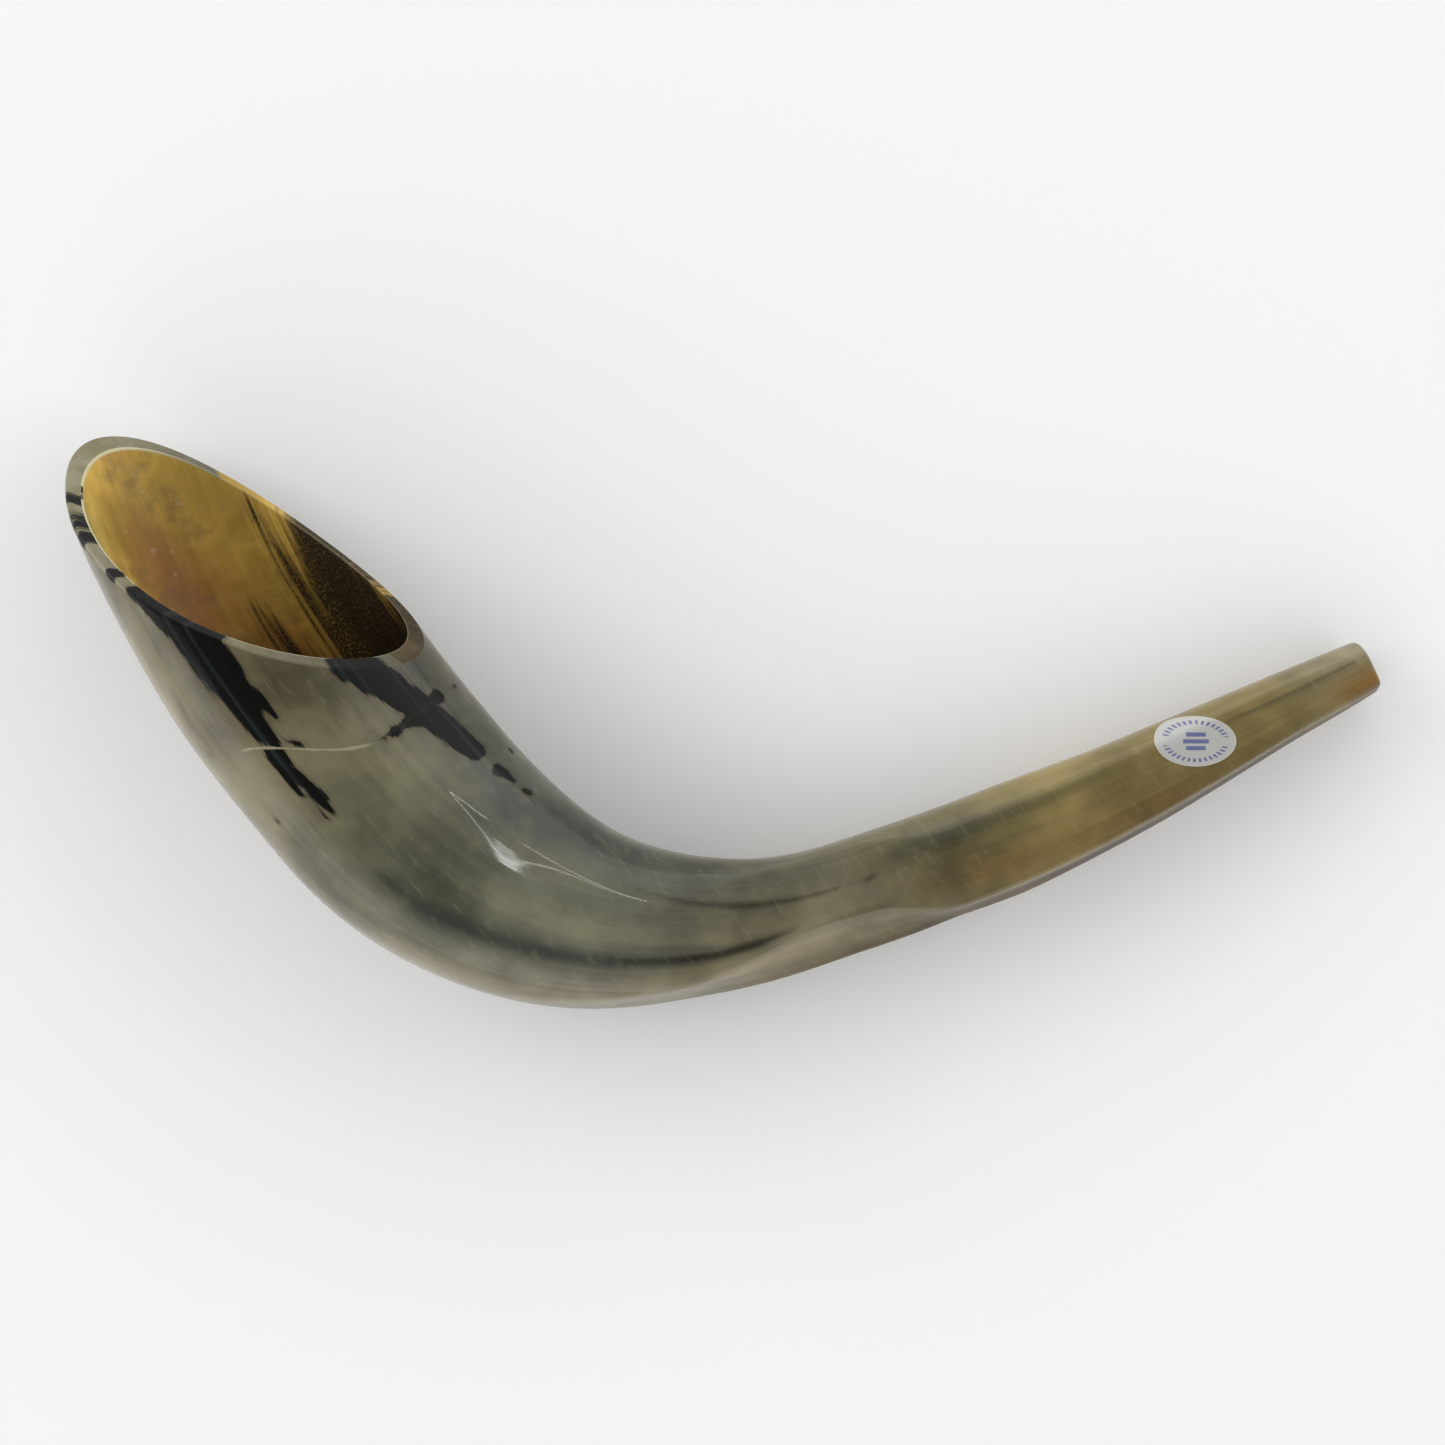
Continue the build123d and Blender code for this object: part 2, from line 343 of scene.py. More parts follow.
def gridFaces(rowCount, columnCount, closedRows=True):
    # quads of a grid that wraps round its columns, and its rows too where asked
    row = np.arange(rowCount if closedRows else rowCount - 1)[:, None]
    column = np.arange(columnCount)[None]
    nextRow, nextColumn = (row + 1) % rowCount, (column + 1) % columnCount
    quads = [row * columnCount + column, row * columnCount + nextColumn,
             nextRow * columnCount + nextColumn, nextRow * columnCount + column]
    quads = [np.broadcast_to(quad, (len(row), columnCount)) for quad in quads]
    return np.stack(quads, axis=-1).reshape(-1, 4)


def meshPiece(name, points, quads, fields=None):
    # a smooth mesh object at the origin, with its fields as point attributes
    mesh = bpy.data.meshes.new(name)
    mesh.vertices.add(len(points))
    mesh.vertices.foreach_set("co", np.ascontiguousarray(points, dtype=np.float32).ravel())
    mesh.loops.add(quads.size)
    mesh.loops.foreach_set("vertex_index", quads.astype(np.int32).ravel())
    mesh.polygons.add(len(quads))
    mesh.polygons.foreach_set("loop_start", np.arange(len(quads), dtype=np.int32) * 4)
    mesh.update(calc_edges=True)
    mesh.validate()
    mesh.polygons.foreach_set("use_smooth", np.ones(len(quads), dtype=bool))
    for field, values in (fields or {}).items():
        kind, slotName = ("FLOAT_VECTOR", "vector") if values.ndim == 2 else ("FLOAT", "value")
        attribute = mesh.attributes.new(field, kind, "POINT")
        attribute.data.foreach_set(slotName, np.ascontiguousarray(values, dtype=np.float32).ravel())
    piece = bpy.data.objects.new(name, mesh)
    bpy.context.scene.collection.objects.link(piece)
    return piece


# fields of the horn: what its finish reads at each point. Places are (millimetres along, degrees).

tones = {
    "bone": (199, 189, 148), "pale": (150, 145, 116), "straw": (128, 119, 84),
    "beige": (126, 118, 92), "stem": (117, 109, 70), "khaki": (96, 91, 64), "olive": (91, 84, 56),
    "greyGreen": (104, 106, 84), "ash": (85, 87, 74), "slate": (64, 67, 62),
    "rust": (134, 103, 62), "umber": (99, 81, 53), "tan": (166, 147, 92), "sand": (166, 153, 120),
    "drab": (138, 131, 102), "grey": (116, 118, 98), "amber": (196, 146, 58),
    "redBrown": (138, 84, 38), "honey": (172, 142, 66), "orange": (132, 88, 44),
    "bark": (66, 50, 30), "soot": (30, 25, 18), "ink": (10, 11, 9), "inkBlue": (36, 40, 41),
}
hornPaint = {
    # tone at each distance along the outside
    "run": [(0, "sand"), (30, "tan"), (90, "tan"), (120, "straw"), (150, "drab"), (175, "drab"),
            (205, "grey"), (250, "grey"), (285, "drab"), (330, "beige"), (392, "pale")],
    # soft dabs of tone, painted shade and painted highlight among them: tone, distance, angle,
    # reach, spread, strength
    "dabs": [
        ("sand", 322, 84, 44, 28, 0.8), ("sand", 262, 84, 44, 26, 0.75),
        ("sand", 212, 62, 40, 26, 0.8), ("sand", 176, 44, 26, 16, 0.6),
        ("olive", 304, 350, 13, 30, 0.8), ("olive", 292, 284, 26, 20, 0.6),
        # ash at (262, 300), (206, 304) and (168, 318) and slate at (240, 314), on the upper inner
        # flank: painted shade over its own grey
        ("ash", 262, 300, 34, 24, 0.7), ("ash", 206, 304, 40, 22, 0.8),
        # pale at (268, 342), (205, 3) and (226, 336), on the top of the bend: painted highlight
        ("pale", 268, 342, 24, 20, 0.5), ("greyGreen", 262, 14, 24, 12, 0.4),
        ("pale", 205, 3, 30, 9, 0.7), ("pale", 226, 336, 14, 14, 0.35),
        ("slate", 286, 306, 10, 9, 0.7), ("slate", 240, 314, 26, 15, 0.7),
        ("ash", 168, 318, 34, 24, 0.6), ("khaki", 128, 336, 26, 18, 0.6),
        ("rust", 102, 16, 22, 18, 0.7), ("rust", 64, 30, 26, 20, 0.5),
        # umber and bark on the stem's outer side flat (angle 84): painted shade over its own brown
        ("umber", 72, 84, 70, 38, 0.9), ("bark", 76, 84, 66, 22, 0.8),
        ("umber", 165, 100, 50, 28, 0.5), ("umber", 110, 180, 120, 60, 0.6),
        ("khaki", 250, 180, 80, 60, 0.6), ("sand", 150, 30, 34, 10, 0.5),
        ("amber", 3, 20, 10, 26, 0.8), ("redBrown", 1, 46, 7, 16, 0.9),
        ("bone", 8, 320, 12, 30, 0.4),
    ],
    # soft bands along the horn: tone, softness, strength, then (distance, angle, half width)
    "bands": [
        ("slate", 2.4, 0.80, [(256, 24, 0.8), (246, 25, 2.0), (236, 23, 2.7), (222, 20, 2.5),
                              (204, 18.8, 2.1), (186, 18, 1.4), (170, 13.5, 0.8), (160, 9.5, 0.1)]),
        ("ink", 1.6, 0.35, [(236, 23, 0.6), (216, 20.5, 1.4), (198, 19.4, 1.0)]),
        ("soot", 0.9, 0.8, [(204, 18.5, 0.2), (190, 18.3, 0.8), (180, 17.2, 0.9),
                            (170, 13.5, 0.8), (160, 9.5, 0.1)]),
        ("soot", 0.8, 0.75, [(200, 332, 0.1), (186, 338.5, 0.4), (172.5, 343.5, 0.8),
                             (160, 345, 0.6), (147, 345, 0.1)]),
        ("slate", 4.0, 0.55, [(232, 300, 3.0), (214, 301, 4.0), (196, 299, 4.0), (178, 292, 2.5),
                              (160, 288, 1.0)]),
        ("ash", 2.2, 0.5, [(130, 330, 2.0), (112, 331, 2.5), (90, 332, 1.6), (74, 331, 0.6)]),
        ("slate", 1.0, 0.6, [(40, 338, 0.2), (30, 341, 0.5), (18, 342, 0.5), (4, 340, 0.3)]),
        # pale along the ridge between the stem's two flats, where they swing over: painted
        # highlight
        ("pale", 1.2, 0.55, [(176, 29, 0.1), (162, 13, 0.7), (148, 5, 0.9), (140, 5, 0.7),
                             (134, 14, 0.2)]),
        ("bark", 0.8, 0.6, [(139.5, 346, 0.9), (137.5, 345, 0.7)]),
    ],
    # tone at each angle inside, with its own dabs and dark streaks
    "lining": [(0, "khaki"), (60, "straw"), (110, "honey"), (135, "orange"), (156, "honey"),
               (204, "honey"), (216, "umber"), (245, "umber"), (251, "honey"), (258, "umber"),
               (300, "bark"), (360, "khaki")],
    "liningDabs": [
        ("honey", 368, 140, 14, 40, 0.9), ("orange", 336, 146, 15, 24, 0.8),
        ("orange", 318, 168, 14, 12, 0.6), ("orange", 348, 120, 16, 14, 0.6),
        ("redBrown", 312, 180, 12, 14, 0.5), ("soot", 240, 180, 60, 160, 0.75),
    ],
    "liningStreaks": [
        [(353, 193, 0.5), (338, 195.5, 1.3), (322, 198, 1.4), (310, 200, 2.2)],
        [(349, 212, 1.0), (340, 216, 4.5), (328, 221, 8.5), (312, 222, 12), (295, 222, 18)],
        [(328, 262, 1.5), (314, 263, 3.0), (292, 262, 8.0)],
        [(329, 171, 0.4), (317, 175, 2.0), (303, 178, 5.0)],
        [(322, 158, 0.3), (312, 160, 1.5), (299, 163, 5.0)],
        [(323, 150, 0.2), (311, 152, 1.0), (298, 155, 5.0)],
        [(284, 100, 12), (284, 180, 16), (284, 260, 18)],
    ],
    # how pale the sawn rim is at each angle
    "rim": [(0, 0.50), (30, 0.60), (60, 0.90), (100, 1.00), (140, 0.90), (168, 0.40), (190, 0.12),
            (300, 0.12), (325, 0.30), (345, 0.45), (360, 0.50)],
    # black pigment: (distance, angle, half width) along each streak
    "streaks": [
        [(340.5, 44.5, 0.4), (334, 35, 2.0), (327, 26, 3.9), (320, 23, 4.6), (312, 22, 4.7),
         (304, 22.5, 3.0), (297.5, 22, 2.2), (294.5, 21, 1.4)],
        [(307, 15.5, 1.2), (303, 13.5, 1.0), (298.5, 12.5, 0.5)],
        [(292, 23, 2.1), (286, 24, 1.3), (281, 25.5, 0.4)],
        [(285, 21.2, 0.6), (280.5, 20.4, 1.4), (277, 19.4, 1.6)],
        [(277, 21.5, 0.6), (273.3, 23.5, 0.2)],
        [(276.5, 18.6, 0.6), (272.5, 20, 0.2)],
        [(292.8, 16, 0.4), (289.6, 10.5, 0.8)],
        [(299.5, 333, 4.6), (292, 326, 4.4), (285, 322, 3.6), (279.5, 317, 3.6),
         (272.5, 314.5, 3.6), (266, 313, 3.4), (261.5, 310.5, 2.8)],
        [(278, 320, 1.6), (279, 328, 1.2), (279, 340, 0.6)],
        [(280, 304.5, 1.5), (279.5, 312, 1.8)],
        [(253, 308.5, 2.0), (250.5, 306.5, 1.6), (247, 305.5, 0.4)],
        [(242.5, 305, 1.0), (240.8, 304, 0.8)],
        [(254.6, 286, 0.6), (254.2, 287.5, 0.4)], [(279.8, 289, 0.5), (279.4, 290.5, 0.3)],
        [(280.6, 47.4, 0.7), (279.6, 46.4, 0.6)], [(301.4, 57, 0.6), (301.2, 56, 0.5)],
        [(344.7, 51, 1.0), (346.5, 53, 0.6)], [(356, 67, 0.9), (358, 70, 1.0)],
        [(361, 74, 1.2), (366, 78, 1.6)], [(367, 88, 1.4), (369, 96, 1.0)],
        [(369, 106, 1.3), (366, 114, 1.5)],
        [(262, 150, 4.0), (240, 158, 6.0), (216, 161, 4.0), (196, 164, 1.0)],
        [(318, 205, 3.0), (300, 212, 4.5), (284, 214, 2.0)],
        [(330, 166, 1.5), (316, 170, 2.6), (306, 171, 1.0)],
    ],
}


def tone(name):
    # sRGB numbers turned to linear light
    share = np.array(tones[name]) / 255
    return np.where(share <= 0.04045, share / 12.92, ((share + 0.055) / 1.055) ** 2.4)


def runOfTones(value, stops):
    # linear blend between the tones at the stops
    places = [place for place, name in stops]
    colours = np.array([tone(name) for place, name in stops])
    return np.stack([np.interp(value, places, colours[:, i]) for i in range(3)], axis=-1)


def roundRadius(distance):
    # mean of half width and half depth, which turns degrees into a length round the horn
    return (swell(distance, hornShape["halfWidths"]) + swell(distance, hornShape["halfDepths"])) / 2


def streakDistance(along, angle, points):
    # millimetres outside the nearest capsule of a chain, each tapering between its half widths
    nearest = np.full(along.shape, 1e3)
    radius = roundRadius(along * mm) / mm
    for (s0, a0, w0), (s1, a1, w1) in zip(points[:-1], points[1:]):
        stepAlong, stepRound = s1 - s0, math.radians(a1 - a0) * radius
        offAlong, offRound = along - s0, np.radians(angleFrom(angle, a0)) * radius
        share = (offAlong * stepAlong + offRound * stepRound) / (stepAlong ** 2 + stepRound ** 2)
        share = np.clip(share, 0, 1)
        away = np.hypot(offAlong - share * stepAlong, offRound - share * stepRound)
        nearest = np.minimum(nearest, away - w0 - (w1 - w0) * share)
    return nearest


def addDabs(tint, along, angle, dabs):
    # each dab blends its tone in by strength times two bell curves
    for name, middle, facing, reach, spread, strength in dabs:
        share = strength * bump(along, middle, reach) * facingBump(angle, facing, spread)
        tint = tint + (tone(name) - tint) * share[..., None]
    return tint


def nearestStreak(along, angle, streaks):
    # the least of the distances to all the streaks
    return np.minimum.reduce([streakDistance(along, angle, points) for points in streaks])


def hornFields(along, angle, region):
    # every field of the horn's finish, on its grid
    along = along / mm
    paleness = np.interp(angle, *zip(*hornPaint["rim"]))
    onRim, onHighlitEdge = np.isin(region, ("rim", "edge"))[:, None], (region == "edge")[:, None]
    outer = np.isin(region, ("outside", "tip"))[:, None] | (onRim & (paleness > 0.2))
    tint = addDabs(runOfTones(along, hornPaint["run"]), along, angle, hornPaint["dabs"])
    for name, softness, strength, points in hornPaint["bands"]:
        share = strength * ease(-streakDistance(along, angle, points), -softness, softness)
        tint = tint + (tone(name) - tint) * share[..., None]
    lining = addDabs(runOfTones(angle, hornPaint["lining"]), along, angle, hornPaint["liningDabs"])
    tint = np.where(outer[..., None], tint, lining)
    ink = nearestStreak(along, angle, hornPaint["streaks"])
    smoke = nearestStreak(along, angle, hornPaint["liningStreaks"])
    ring = along - ringDistance(angle) / mm
    facing = angleFrom(angle, 0)
    ringPale = ease(facing, -24, -6) * (1 - ease(facing, 31, 40))
    ringDark = ease(facing, -62, -44) * (1 - ease(facing, -24, -6))
    ones = np.ones(along.shape)
    turn = np.radians(angle)
    grain = np.stack([along / 100 + np.where(outer, 0, 7), np.cos(turn), np.sin(turn)], axis=-1)
    return {
        "tint": tint.reshape(-1, 3), "grain": grain.reshape(-1, 3),
        "ink": np.where(outer, ink, 20).ravel(), "smoke": np.where(outer, 20, smoke).ravel(),
        "ring": np.where(outer, ring, 20).ravel(), "ringSeen": (ringPale - ringDark).ravel(),
        "inside": (ones * ~outer).ravel(), "rim": (onRim * paleness).ravel(),
        # edge: painted highlight of bone along the rim's inner edge, as strong as the rim is pale
        "edge": (onHighlitEdge * paleness).ravel(), "along": along.ravel(),
        "worn": (facingBump(angle, 88, 36) * (1 - ease(along, 150, 200))).ravel(),
    }


print("shaping the horn")
rows, alongRows, angleRows, regionRows = hornRows()
hornBox = np.array(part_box("horn"))
rawLow, rawHigh = rows.reshape(-1, 3).min(axis=0), rows.reshape(-1, 3).max(axis=0)
# the grid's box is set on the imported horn's box: centred level, and standing on its lowest point
seat = np.append((hornBox[0] + hornBox[1] - rawLow - rawHigh)[:2] / 2, hornBox[0][2] - rawLow[2])
horn = meshPiece("horn_shell", (rows + seat).reshape(-1, 3),
                 gridFaces(len(rows), hornGrid["around"]),
                 hornFields(alongRows, angleRows, regionRows))


# the label

labelShape = {
    "length": 0.0208, "width": 0.0126, "distance": 0.0494, "offset": 0.0039, "angle": 341.0,
    "adhesive": 0.05 * mm, "paper": 0.10 * mm, "clearance": 0.02 * mm, "cells": 56,
    "newtonSteps": 14,
}
labelPrint = {
    # ring: inner and outer share of the oval, dashes per turn, height of its side gaps
    "ring": (0.66, 0.84), "dashes": 34, "gap": (0.14, 0.20),
    # bars: (height, half length) in millimetres, and their half thickness
    "bars": ((1.7, 2.6), (0.0, 3.4), (-1.7, 2.6)), "barEdge": (0.60, 0.45),
    "blue": (0.075, 0.095, 0.26, 1), "white": (0.46, 0.46, 0.44, 1),
    "smudge": (0.32, 0.32, 0.30, 1),
}


def findOnHorn(x, y, distance, angle):
    # Newton's steps, on whole arrays, to the (distance, angle) that stands at a level x and y
    distance, angle = np.full(x.shape, distance), np.full(x.shape, angle)
    nudge, turn = 0.1 * mm, 0.2
    for step in range(labelShape["newtonSteps"]):
        here = onOutside(distance, angle)
        byDistance = (onOutside(distance + nudge, angle) - here) / nudge
        byAngle = (onOutside(distance, angle + turn) - here) / turn
        missX, missY = x - here[..., 0], y - here[..., 1]
        scale = byDistance[..., 0] * byAngle[..., 1] - byDistance[..., 1] * byAngle[..., 0]
        distance = distance + (missX * byAngle[..., 1] - missY * byAngle[..., 0]) / scale
        angle = angle + (byDistance[..., 0] * missY - byDistance[..., 1] * missX) / scale
    return distance, angle


def labelSheet(name, lift, thickness):
    # a square grid bent to a disc (x = u * sqrt(1 - v * v / 2)), stretched and laid on the stem
    cells = labelShape["cells"]
    u, v = np.meshgrid(np.linspace(-1, 1, cells + 1), np.linspace(-1, 1, cells + 1))
    across, up = u * np.sqrt(1 - v * v / 2), v * np.sqrt(1 - u * u / 2)
    x, y = across * labelShape["length"] / 2, up * labelShape["width"] / 2
    middle = setAcross(np.array(labelShape["distance"]), -labelShape["offset"], 0.0)
    distance, angle = findOnHorn(middle[0] + x, middle[1] + y,
                                 labelShape["distance"], labelShape["angle"])
    points = onOutside(distance, angle) + seat + [0, 0, labelShape["clearance"] + lift]
    row, column = np.arange(cells)[:, None], np.arange(cells)[None]
    first = row * (cells + 1) + column
    quads = np.stack([first, first + 1, first + cells + 2, first + cells + 1], axis=-1)
    spot = np.stack([x / mm, y / mm, 0 * x], axis=-1).reshape(-1, 3)
    sheet = meshPiece(name, points.reshape(-1, 3), quads.reshape(-1, 4), {"spot": spot})
    wall = sheet.modifiers.new("thickness", "SOLIDIFY")
    wall.thickness = thickness
    wall.offset = 1
    return sheet


print("laying the label")
labelGlue = labelSheet("label_glue", 0, labelShape["adhesive"])
labelFace = labelSheet("label_face", labelShape["adhesive"], labelShape["paper"])


# finishes

class Wire:
    # one socket of a finish: sums and products of wires and numbers add Math nodes
    def __init__(self, finish, socket):
        self.finish, self.socket = finish, socket

    def maths(self, operation, first, second=0.0):
        return self.finish.node("ShaderNodeMath", {"operation": operation}, {0: first, 1: second})

    def __add__(self, other):
        return self.maths("ADD", self, other)

    def __radd__(self, other):
        return self.maths("ADD", other, self)

    def __sub__(self, other):
        return self.maths("SUBTRACT", self, other)

    def __rsub__(self, other):
        return self.maths("SUBTRACT", other, self)

    def __mul__(self, other):
        return self.maths("MULTIPLY", self, other)

    def __rmul__(self, other):
        return self.maths("MULTIPLY", other, self)

    def __truediv__(self, other):
        return self.maths("DIVIDE", self, other)

    def __pow__(self, other):
        return self.maths("POWER", self, other)


class Finish:
    # a material and the means to add to its nodes
    def __init__(self, name, **constants):
        self.material = bpy.data.materials.new(name)
        self.material.use_nodes = True
        self.tree = self.material.node_tree
        self.shader = self.tree.nodes["Principled BSDF"]
        for socket, value in constants.items():
            self.shader.inputs[socket.replace("_", " ")].default_value = value

    def node(self, kind, settings=None, inputs=None, output=0):
        # any node: its settings first, then the values or links of its sockets
        node = self.tree.nodes.new(kind)
        for setting, value in (settings or {}).items():
            setattr(node, setting, value)
        for socket, value in (inputs or {}).items():
            if isinstance(value, Wire):
                self.tree.links.new(value.socket, node.inputs[socket])
            else:
                node.inputs[socket].default_value = value
        return Wire(self, node.outputs[output])

    def field(self, name, output="Fac"):
        return self.node("ShaderNodeAttribute", {"attribute_name": name}, output=output)

    def stretch(self, vector, x, y, z):
        return self.node("ShaderNodeVectorMath", {"operation": "MULTIPLY"},
                         {0: vector, 1: (x, y, z)})

    def scaled(self, vector, factor):
        return self.node("ShaderNodeVectorMath", {"operation": "SCALE"},
                         {0: vector, "Scale": factor})

    def noise(self, vector, scale, detail=3.0, roughness=0.5):
        settings = {"Vector": vector, "Scale": scale, "Detail": detail, "Roughness": roughness}
        return self.node("ShaderNodeTexNoise", None, settings, "Fac")

    def smooth(self, value, low, high):
        # 0 at low and 1 at high, with an S between
        return self.node("ShaderNodeMapRange", {"interpolation_type": "SMOOTHSTEP"},
                         {"Value": value, "From Min": low, "From Max": high})

    def mix(self, share, first, second):
        return self.node("ShaderNodeMix", {"data_type": "RGBA"}, {0: share, 6: first, 7: second}, 2)

    def relief(self, height, strength, distance):
        return self.node("ShaderNodeBump", None,
                         {"Strength": strength, "Distance": distance, "Height": height})

    def colour(self, name):
        return (*tone(name), 1.0)

    def feed(self, **links):
        for socket, wire in links.items():
            self.tree.links.new(wire.socket, self.shader.inputs[socket.replace("_", " ")])


def hornFinish():
    finish = Finish("polished_horn", Coat_Roughness=0.05, Coat_IOR=1.4, Specular_IOR_Level=0.12)
    grain, along = finish.field("grain", "Vector"), finish.field("along")
    inside, rim = finish.field("inside"), finish.field("rim")
    place = finish.node("ShaderNodeTexCoord", None, None, "Object")

    # fibres run along the horn: noise on a grain stretched thin round it
    fibre = finish.noise(finish.stretch(grain, 1.5, 13, 13), 1.0, 4.0, 0.55)
    fineFibre = finish.noise(finish.stretch(grain, 5, 60, 60), 1.0, 3.0, 0.6)
    cloud = finish.noise(place, 38.0, 3.0, 0.5)
    mottle = finish.noise(place, 150.0, 3.0, 0.6)

    # colour: the painted tone, shaded by fibres and clouds
    patchy = finish.smooth(cloud, 0.32, 0.68)
    shade = 0.08 + fibre * 0.30 + fineFibre * 0.14 + patchy * 0.32 + mottle * 0.20
    colour = finish.scaled(finish.field("tint", "Vector"), shade * (inside * 1.3 + 1))
    veil = finish.noise(finish.stretch(grain, 3.2, 4.5, 4.5), 1.0, 4.0, 0.55)
    veiled = finish.smooth(veil, 0.54, 0.72) * (1 - inside)
    veiled = veiled * (finish.smooth(along, 90, 190) * 0.32 + 0.10)
    colour = finish.mix(veiled, colour, finish.colour("slate"))
    flecked = finish.smooth(mottle, 0.56, 0.78) * 0.16
    colour = finish.mix(flecked, colour, finish.colour("straw"))

    # inside: brown-black streaks, frayed along the wall and finely speckled
    wallStreak = finish.noise(finish.stretch(grain, 2.2, 24, 24), 1.0, 5.0, 0.62)
    speckle = finish.noise(place, 2100.0, 2.0, 0.7)
    stain = finish.noise(place, 75.0, 4.0, 0.6)
    stained = finish.smooth(stain, 0.50, 0.68) * inside * 0.55
    colour = finish.mix(stained, colour, finish.colour("umber"))
    scratch = finish.noise(finish.stretch(grain, 30, 7, 7), 1.0, 2.0, 0.5)
    scratched = finish.smooth(scratch, 0.66, 0.74) * inside * 0.35
    colour = finish.mix(scratched, colour, finish.colour("sand"))
    frayed = finish.field("smoke") + (wallStreak - 0.5) * 16 + (fineFibre - 0.5) * 5
    colour = finish.mix(finish.smooth(frayed, 4.0, 0.0) * 0.45, colour, finish.colour("bark"))
    dark = finish.smooth(frayed, 1.2, -1.8) * finish.smooth(speckle, 0.66, 0.52) * 0.94
    colour = finish.mix(dark, colour, finish.colour("soot"))

    # fine pale scuffs that cross the fibres at a slant
    slant = finish.node("ShaderNodeVectorRotate", {"rotation_type": "AXIS_ANGLE"},
                        {"Vector": place, "Axis": (0, 0, 1), "Angle": math.radians(52)})
    scuff = finish.noise(finish.stretch(slant, 170, 800, 170), 1.0, 3.0, 0.6)
    scuffed = finish.smooth(scuff, 0.54, 0.74) * (1 - inside) * 0.14
    colour = finish.mix(scuffed, colour, finish.colour("pale"))

    # black pigment: the streaks' edge is frayed along the fibres
    frayed = finish.field("ink") + (fibre - 0.5) * 2.6
    frayed = frayed + (fineFibre - 0.5) * 1.8 + (mottle - 0.5) * 1.4
    halo = finish.smooth(frayed, 1.7, -0.2)
    black = finish.smooth(frayed, 0.55, -0.15)
    colour = finish.mix(halo * 0.40, colour, finish.colour("bark"))
    bluish = finish.smooth(fibre, 0.48, 0.70)
    pigment = finish.mix(bluish, finish.colour("ink"), finish.colour("inkBlue"))
    colour = finish.mix(black, colour, pigment)

    # growth ring: a pale thread, broken up by the mottling
    offRing = finish.node("ShaderNodeMath", {"operation": "ABSOLUTE"}, {0: finish.field("ring")})
    thread = finish.smooth(offRing + (mottle - 0.5) * 1.1, 0.55, 0.15)
    seen = finish.field("ringSeen")
    colour = finish.mix(thread * finish.smooth(seen, 0, 1) * 0.85, colour, finish.colour("pale"))
    colour = finish.mix(thread * finish.smooth(seen, 0, -1) * 0.75, colour, finish.colour("soot"))

    # sawn rim: bone pale where it's thick, with a painted highlight of bone along its inner edge
    yellowed = finish.smooth(mottle, 0.36, 0.66)
    bone = finish.mix(yellowed, finish.colour("pale"), finish.colour("stem"))
    colour = finish.mix(rim * (1 - black) * 0.6, colour, finish.scaled(bone, 0.95))
    colour = finish.mix(finish.field("edge") * (1 - black), colour, finish.colour("bone"))

    height = fibre * 0.5 + fineFibre * 0.35 + mottle * 0.25 + thread * 1.6
    normal = finish.relief(height, 0.35, 0.12 * mm)
    roughness = 0.26 + fineFibre * 0.16 + inside * 0.22 + finish.smooth(along, 30, 0) * 0.10
    polish = (0.6 - inside * 0.5) * (1 - black * 0.9) * (1 - finish.field("worn") * 0.9)
    finish.feed(Base_Color=colour, Roughness=roughness, Normal=normal, Coat_Weight=polish)
    return finish.material


def labelFinish():
    # blue print on white: a dashed oval ring and three bars, all from the label's own flat place
    finish = Finish("label_print", Coat_Weight=0.25, Coat_Roughness=0.15)
    spot = finish.field("spot", "Vector")
    split = finish.tree.nodes.new("ShaderNodeSeparateXYZ")
    finish.tree.links.new(spot.socket, split.inputs[0])
    x, y = Wire(finish, split.outputs[0]), Wire(finish, split.outputs[1])
    sideways, upright = x / (labelShape["length"] / mm / 2), y / (labelShape["width"] / mm / 2)
    out = (sideways * sideways + upright * upright) ** 0.5
    inner, outer = labelPrint["ring"]
    turn = out.maths("ARCTAN2", upright, sideways)
    dash = finish.smooth(out.maths("SINE", turn * labelPrint["dashes"]), -0.1, 0.25)
    band = finish.smooth(out, inner, inner + 0.03) * finish.smooth(out, outer, outer - 0.03)
    gap = finish.smooth(out.maths("ABSOLUTE", upright), *labelPrint["gap"])
    bars = 0.0
    for height, reach in labelPrint["bars"]:
        level = finish.smooth(out.maths("ABSOLUTE", y - height), *labelPrint["barEdge"])
        width = finish.smooth(out.maths("ABSOLUTE", x), reach, reach - 0.2)
        bars = level * width + bars
    ink = band * dash * gap + bars
    fleck = finish.noise(spot, 2.2, 4.0, 0.6)
    white = finish.mix(finish.smooth(fleck, 0.35, 0.75) * 0.35, labelPrint["white"],
                       labelPrint["smudge"])
    edge = finish.smooth(out, 0.965, 1.0)
    white = finish.mix(edge * 0.5, white, finish.colour("bone"))
    colour = finish.mix(ink * (0.75 + fleck * 0.25), white, labelPrint["blue"])
    fibres = finish.noise(spot, 9.0, 2.0, 0.5)
    normal = finish.relief(fibres, 0.2, 0.05 * mm)
    finish.feed(Base_Color=colour, Roughness=0.34 + fleck * 0.2, Normal=normal)
    return finish.material


def glueFinish():
    # cloudy film: tone varied by a fine noise
    finish = Finish("label_film", Roughness=0.3)
    cloud = finish.noise(finish.field("spot", "Vector"), 3.0, 3.0, 0.5)
    finish.feed(Base_Color=finish.mix(cloud, finish.colour("bone"), finish.colour("pale")))
    return finish.material


print("finishing the surfaces")
horn.data.materials.append(hornFinish())
labelFace.data.materials.append(labelFinish())
labelGlue.data.materials.append(glueFinish())

for piece, node in ((horn, "horn"), (labelFace, "label_paper"), (labelGlue, "label_adhesive")):
    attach(piece, "root")
    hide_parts(node)


# floor, light and camera

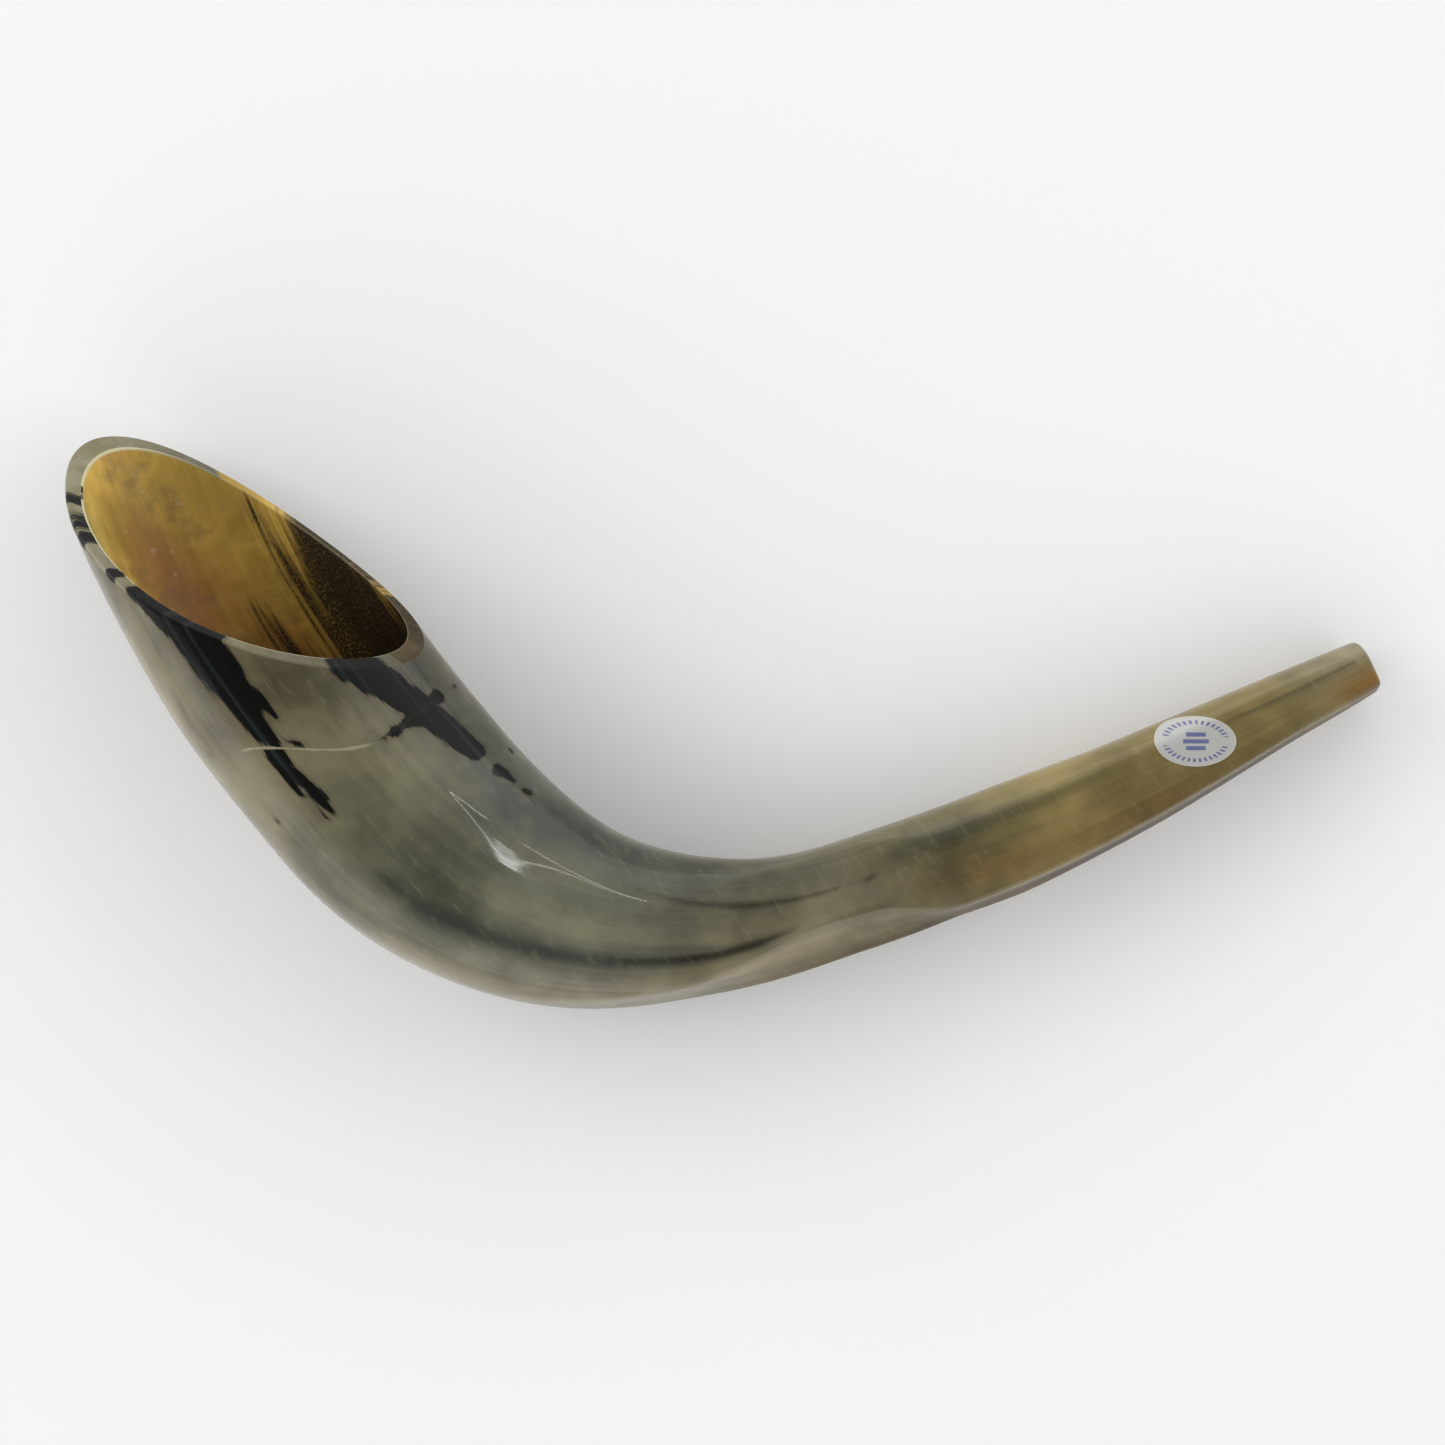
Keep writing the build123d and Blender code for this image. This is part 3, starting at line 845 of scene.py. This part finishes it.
stageShape = {
    "floorSize": 14.0, "floorDrop": 0.2 * mm, "floorTone": (0.97, 0.97, 0.97, 1), "lens": 60.0,
    # from and to heights of a direction, then the sky's strength at each
    "skyFall": (0.25, 0.97, 1.95, 0.12),
    "softboxPlace": (-2.4, 0.9, 0.9), "softboxSize": (2.4, 0.9), "softboxWatts": 24,
    # a thin outline of light, which the bend mirrors at these (millimetres along, degrees)
    "outline": [(246, 333.0), (252, 334.0), (258, 335.5), (250, 337.2), (243.5, 340), (238, 344),
                (234, 347), (233, 343), (236, 338.5)],
    "stripWidth": 0.006, "stripReach": 0.9, "stripWatts": 0.35,
}
cameraPlace = np.array([-0.0024, -0.0005, 0.622])


def layFloor():
    # four corners of a level square, just under the horn
    half, level = stageShape["floorSize"] / 2, hornBox[0][2] - stageShape["floorDrop"]
    corners = np.array([[-half, -half, level], [half, -half, level],
                        [half, half, level], [-half, half, level]])
    floor = meshPiece("floor", corners, np.array([[0, 1, 2, 3]]))
    finish = Finish("floor_paint", Roughness=0.9, Specular_IOR_Level=0.1)
    finish.shader.inputs["Base Color"].default_value = stageShape["floorTone"]
    floor.data.materials.append(finish.material)


def addLamp(name, size, watts):
    # an area light, whose place is set by the caller
    lamp = bpy.data.lights.new(name, "AREA")
    lamp.shape = "RECTANGLE"
    lamp.size, lamp.size_y = size
    lamp.energy = watts
    holder = bpy.data.objects.new(name, lamp)
    bpy.context.scene.collection.objects.link(holder)
    return holder


def addLight(name, place, aim, size, watts):
    # a softbox at a place, turned to its aim
    holder = addLamp(name, size, watts)
    holder.location = place
    holder.rotation_euler = (Vector(aim) - Vector(place)).to_track_quat("-Z", "Y").to_euler()


def mirrored(along, angle):
    # a point of the horn, and the place some way off that it mirrors to the camera,
    # along the reflected view v - 2 (v . n) n
    distance, nudge, turn = along * mm, 0.2 * mm, 0.5
    here = onOutside(np.array(distance), angle)
    normal = np.cross(onOutside(np.array(distance), angle + turn) - here,
                      onOutside(np.array(distance + nudge), angle) - here)
    normal = normal / np.linalg.norm(normal)
    spot = here + seat
    view = spot - cameraPlace
    view = view / np.linalg.norm(view)
    return spot, spot + (view - 2 * (view @ normal) * normal) * stageShape["stripReach"]


def addStrip(name, first, last):
    # a thin tube of light between two mirrored places, facing the points that mirror them
    start, end, aim = Vector(first[1]), Vector(last[1]), Vector((first[0] + last[0]) / 2)
    length = (end - start).length
    holder = addLamp(name, (length, stageShape["stripWidth"]), length * stageShape["stripWatts"])
    run, back = (end - start).normalized(), ((start + end) / 2 - aim).normalized()
    side = back.cross(run).normalized()
    back = run.cross(side)
    turned = Matrix((run, side, back)).transposed().to_4x4()
    holder.matrix_world = Matrix.Translation((start + end) / 2) @ turned


def addCamera():
    lens = bpy.data.cameras.new("camera")
    lens.lens = stageShape["lens"]
    lens.clip_start = 0.01
    camera = bpy.data.objects.new("camera", lens)
    bpy.context.scene.collection.objects.link(camera)
    camera.location = cameraPlace
    bpy.context.scene.camera = camera


def addSky():
    # white, with a strength by height of the direction: full at the horizon, dim overhead
    world = bpy.data.worlds.new("studio")
    world.use_nodes = True
    sky = world.node_tree
    background = sky.nodes["Background"]
    background.inputs["Color"].default_value = (1, 1, 1, 1)
    direction = sky.nodes.new("ShaderNodeTexCoord")
    heightOf = sky.nodes.new("ShaderNodeSeparateXYZ")
    fall = sky.nodes.new("ShaderNodeMapRange")
    fall.interpolation_type = "SMOOTHSTEP"
    for socket, value in zip(("From Min", "From Max", "To Min", "To Max"), stageShape["skyFall"]):
        fall.inputs[socket].default_value = value
    sky.links.new(direction.outputs["Generated"], heightOf.inputs[0])
    sky.links.new(heightOf.outputs["Z"], fall.inputs["Value"])
    sky.links.new(fall.outputs[0], background.inputs["Strength"])
    bpy.context.scene.world = world


print("setting the stage")
layFloor()
addLight("softbox", stageShape["softboxPlace"], (0, 0, 0), stageShape["softboxSize"],
         stageShape["softboxWatts"])
outline = stageShape["outline"]
for number, (first, last) in enumerate(zip(outline[:-1], outline[1:])):
    addStrip(f"outline{number}", mirrored(*first), mirrored(*last))
addCamera()
addSky()
bpy.context.scene.view_settings.view_transform = "Standard"
